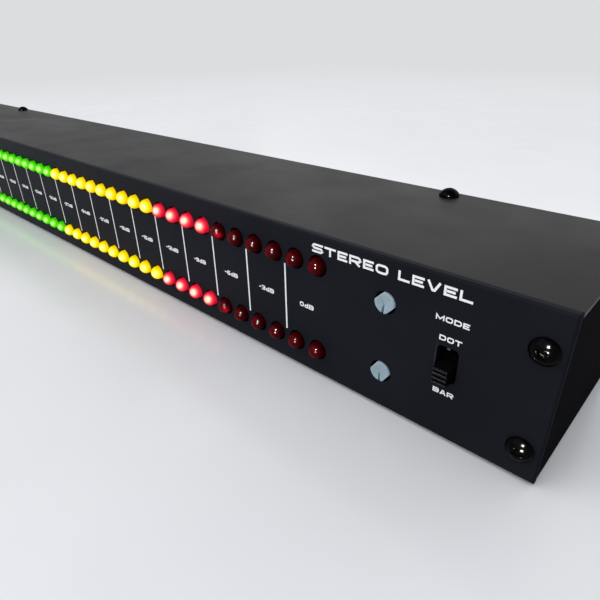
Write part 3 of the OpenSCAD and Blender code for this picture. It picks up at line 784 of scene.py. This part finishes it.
# Wide letters and figures as strokes in a box one unit high: (width, [(points, corner radius, closed)])
# T is a stroke's thickness, E half of it, H the height and W and N widths between the strokes' middles
T = 0.24
H = 1 - T
E = T / 2
W = 0.95
N = 0.78
BAR = H / 2
ROUND = 0.24
TIGHT = 0.19
GLYPHS = {
    "A": (W, [([(0, -E), (W * 0.42, H), (W * 0.58, H), (W, -E)], 0, False),
              ([(0.2, 0.2), (W - 0.2, 0.2)], 0, False)]),
    "B": (W, [([(0, 0), (W, 0), (W, H), (0, H)], [0, ROUND, ROUND, 0], True),
              ([(E, BAR), (W - E, BAR)], 0, False)]),
    "D": (W, [([(0, 0), (W, 0), (W, H), (0, H)], [0, 0.36, 0.36, 0], True)]),
    "E": (N, [([(N + E, H), (0, H), (0, 0), (N + E, 0)], 0, False),
              ([(E, BAR), (N, BAR)], 0, False)]),
    "L": (N, [([(0, H + E), (0, 0), (N + E, 0)], 0, False)]),
    "M": (1.15, [([(0, -E), (0, H), (0.575, 0.1), (1.15, H), (1.15, -E)], 0, False)]),
    "O": (W, [([(0, 0), (W, 0), (W, H), (0, H)], 0.3, True)]),
    "R": (W, [([(0, -E), (0, H), (W, H), (W, 0.3), (E, 0.3)], [0, 0, ROUND, ROUND, 0], False),
              ([(W * 0.5, 0.3), (W, -E)], 0, False)]),
    "S": (W, [([(W + E, H), (0, H), (0, BAR), (W, BAR), (W, 0), (-E, 0)],
               [0, ROUND, TIGHT, TIGHT, ROUND, 0], False)]),
    "T": (W, [([(-E, H), (W + E, H)], 0, False),
              ([(W / 2, H - E), (W / 2, -E)], 0, False)]),
    "V": (W, [([(0, H + E), (W * 0.42, 0), (W * 0.58, 0), (W, H + E)], 0, False)]),
    "d": (0.7, [([(0.7 - E, 0), (0, 0), (0, 0.44), (0.7 - E, 0.44)], [0, 0.2, 0.2, 0], False),
                ([(0.7, -E), (0.7, H + E)], 0, False)]),
    "-": (0.36, [([(-E, BAR), (0.36 + E, BAR)], 0, False)]),
    "0": (N, [([(0, 0), (N, 0), (N, H), (0, H)], 0.3, True)]),
    "1": (0.34, [([(-E, H * 0.7), (0.34, H), (0.34, -E)], 0, False)]),
    "2": (N, [([(-E, H), (N, H), (N, BAR), (0, BAR), (0, 0), (N + E, 0)],
               [0, ROUND, TIGHT, TIGHT, 0, 0], False)]),
    "3": (N, [([(-E, H), (N, H), (N, 0), (-E, 0)], [0, ROUND, ROUND, 0], False),
              ([(0.14, BAR), (N - E, BAR)], 0, False)]),
    "4": (N, [([(0.56, -E), (0.56, H + E)], 0, False),
              ([(0.5, H), (0, 0.22), (N + E, 0.22)], 0, False)]),
    "5": (N, [([(N + E, H), (0, H), (0, BAR), (N, BAR), (N, 0), (-E, 0)],
               [0, 0, 0, TIGHT, ROUND, 0], False)]),
    "6": (N, [([(N + E, H), (0, H), (0, 0), (N, 0), (N, BAR), (E, BAR)],
               [0, ROUND, ROUND, ROUND, TIGHT, 0], False)]),
    "7": (N, [([(-E, H), (N, H), (0.3, -E)], 0, False)]),
    "8": (N, [([(0, 0), (N, 0), (N, H), (0, H)], ROUND, True),
              ([(E, BAR), (N - E, BAR)], 0, False)]),
    "9": (N, [([(N - E, BAR), (0, BAR), (0, H), (N, H), (N, 0), (-E, 0)],
               [0, TIGHT, ROUND, ROUND, ROUND, 0], False)]),
}
GAP = 0.16
SPACE = 0.5


def text_width(text):
    """Width of a text whose letters are one unit high."""
    return sum(SPACE if c == " " else GLYPHS[c][0] + T for c in text) + GAP * (len(text) - 1)


def words(text, left, right, low, high, verts, faces):
    """Prints a text in that box of the panel's face."""
    height = high - low
    stretch = (right - left) / (text_width(text) * height)
    at = E
    for c in text:
        if c == " ":
            at += SPACE + GAP
            continue
        wide, strokes = GLYPHS[c]
        for k, (points, radius, closed) in enumerate(strokes):
            path = [Vector((left + (at + p.x) * height * stretch, low + (p.y + E) * height))
                    for p in filleted(points, radius, closed)]
            print_band(path, T * height, closed, verts, faces, INK_LIFT + INK_STEP * k)
        at += wide + T + GAP


# A number for every two lamps, from the right, and a line between each number and the next
NUMBERS = 20
DECIBELS = 3
LINE_LOW, LINE_HIGH = 11.9, 33.5
LINE_W = 0.55
verts, faces = [], []
for j in range(NUMBERS - 1):
    x = (NUMBERS - 2 - 2 * j) * PITCH
    print_band([Vector((x, LINE_LOW)), Vector((x, LINE_HIGH))], LINE_W, False, verts, faces)
piece("scale_lines", verts, faces, "ink")

FIGURE_H = 1.5
FIGURE_LOW = 21.8
verts, faces = [], []
for j in range(NUMBERS):
    label = ("0" if j == 0 else "-" + str(DECIBELS * j)) + "dB"
    middle = (NUMBERS - 1 - 2 * j) * PITCH
    half = text_width(label) * FIGURE_H / 2
    words(label, middle - half, middle + half, FIGURE_LOW, FIGURE_LOW + FIGURE_H, verts, faces)
piece("scale_numbers", verts, faces, "ink")

# Words as text, left, right, low and high
LEGENDS = (("MODE", 195.7, 203.9, 33.6, 35.0),
           ("DOT", 197.2, 202.8, 28.65, 30.05),
           ("BAR", 197.25, 202.65, 13.85, 15.2))
HEADING = ("STEREO LEVEL", 158.4, 203.7, 40.0, 42.5)
verts, faces = [], []
for legend in LEGENDS:
    words(*legend, verts, faces)
piece("switch_legends", verts, faces, "ink")

verts, faces = [], []
words(*HEADING, verts, faces)
piece("panel_heading", verts, faces, "ink")

# Floor, light and background, in metres
BACKGROUND = (0.72, 0.725, 0.735)
OVERHEAD = (0.06, 0.062, 0.066)
OVERHEAD_FROM, OVERHEAD_FULL = 0.42, 0.85
AMBIENT = (0.93, 0.95, 1.0)
AMBIENT_POWER = 0.84
FLOOR_DARK = (0.66, 0.665, 0.675)
FLOOR_LIGHT = (0.7, 0.705, 0.715)
FLOOR_NEAR, FLOOR_FAR = 0.45, 1.5
FLOOR_REACH = 9
FLOOR_Z = -0.00005
GLINT_TARGET = (0.15, 0.0, 0.03)


def seen_rays(tree):
    """1 for a ray that shows the background: from the camera, or on from gloss or glass."""
    light_path = tree.nodes.new("ShaderNodeLightPath")
    total = light_path.outputs["Is Camera Ray"]
    for key in ("Is Glossy Ray", "Is Transmission Ray"):
        larger = tree.nodes.new("ShaderNodeMath")
        larger.operation = "MAXIMUM"
        tree.links.new(total, larger.inputs[0])
        tree.links.new(light_path.outputs[key], larger.inputs[1])
        total = larger.outputs[0]
    return total


def floor_material():
    """Pale, slightly glossy floor that passes into the background well away from the part."""
    s = Shader("pale_floor")
    s.set(Base_Color=s.mix(s.spread(s.noise(9.0, 4.0), 0.0, 1.0), FLOOR_DARK, FLOOR_LIGHT))
    s.set(Roughness=s.spread(s.noise(60.0, 3.0), 0.18, 0.22), Specular_IOR_Level=0.5)
    distance = s.node("ShaderNodeVectorMath", operation="LENGTH")
    s.link(s.coords, distance.inputs[0])
    far = s.span(distance.outputs["Value"], FLOOR_NEAR, FLOOR_FAR, 0.0, 1.0, smooth=True)
    beyond = s.node("ShaderNodeEmission")
    s.put(beyond.inputs[0], BACKGROUND)
    blend = s.node("ShaderNodeMixShader")
    s.link(s.math("MULTIPLY", far, seen_rays(s.tree)), blend.inputs[0])
    s.link(s.bsdf.outputs[0], blend.inputs[1])
    s.link(beyond.outputs[0], blend.inputs[2])
    s.link(blend.outputs[0], s.out.inputs[0])
    return s.mat


floor_mesh = bpy.data.meshes.new("floor")
floor_corners = [(x * FLOOR_REACH, y * FLOOR_REACH, 0) for x, y in ((-1, -1), (1, -1), (1, 1), (-1, 1))]
floor_mesh.from_pydata(floor_corners, [], [(0, 1, 2, 3)])
floor_mesh.materials.append(floor_material())
floor = bpy.data.objects.new("floor", floor_mesh)
floor.location.z = FLOOR_Z
bpy.context.scene.collection.objects.link(floor)


def soft_light(name, place, target, size, watts, glint=False):
    """An area light; a glint shows only as a highlight on the lenses and screws."""
    data = bpy.data.lights.new(name, "AREA")
    data.shape = "RECTANGLE"
    data.size, data.size_y = size
    data.energy = watts
    lamp = bpy.data.objects.new(name, data)
    lamp.location = place
    lamp.rotation_euler = (Vector(target) - Vector(place)).to_track_quat("-Z", "Y").to_euler()
    if glint:
        lamp.visible_diffuse = False
        lamp.light_linking.receiver_collection = SHINY
    bpy.context.scene.collection.objects.link(lamp)


soft_light("key", (-0.35, -0.8, 1.05), (0.05, 0.0, 0.0), size=(1.6, 1.3), watts=11.5)
soft_light("glint_high", (0.43, -0.66, 0.6), GLINT_TARGET, size=(0.19, 0.19), watts=130.0, glint=True)
soft_light("glint_low", (0.5, -0.86, 0.08), GLINT_TARGET, size=(0.19, 0.15), watts=108.0, glint=True)
soft_light("back", (0.02, 1.0, 0.8), (0.1, 0.0, 0.0), size=(2.4, 1.1), watts=5.0)

world = bpy.data.worlds.new("studio")
world.use_nodes = True
tree = world.node_tree
tree.nodes.clear()
out = tree.nodes.new("ShaderNodeOutputWorld")
ambient = tree.nodes.new("ShaderNodeBackground")
ambient.inputs[0].default_value = (*AMBIENT, 1)
ambient.inputs[1].default_value = AMBIENT_POWER
direction = tree.nodes.new("ShaderNodeSeparateXYZ")
tree.links.new(tree.nodes.new("ShaderNodeTexCoord").outputs["Generated"], direction.inputs[0])
height = tree.nodes.new("ShaderNodeMapRange")
height.interpolation_type = "SMOOTHSTEP"
for socket, value in zip(height.inputs[1:5], (OVERHEAD_FROM, OVERHEAD_FULL, 0.0, 1.0)):
    socket.default_value = value
tree.links.new(direction.outputs["Z"], height.inputs[0])
fade = tree.nodes.new("ShaderNodeMix")
fade.data_type = "RGBA"
fade.inputs[6].default_value = (*BACKGROUND, 1)
fade.inputs[7].default_value = (*OVERHEAD, 1)
tree.links.new(height.outputs[0], fade.inputs[0])
seen = tree.nodes.new("ShaderNodeBackground")
tree.links.new(fade.outputs[2], seen.inputs[0])
seen.inputs[1].default_value = 1.0
choose = tree.nodes.new("ShaderNodeMixShader")
tree.links.new(seen_rays(tree), choose.inputs[0])
tree.links.new(ambient.outputs[0], choose.inputs[1])
tree.links.new(seen.outputs[0], choose.inputs[2])
tree.links.new(choose.outputs[0], out.inputs[0])
bpy.context.scene.world = world

bpy.context.scene.view_settings.view_transform = "Standard"
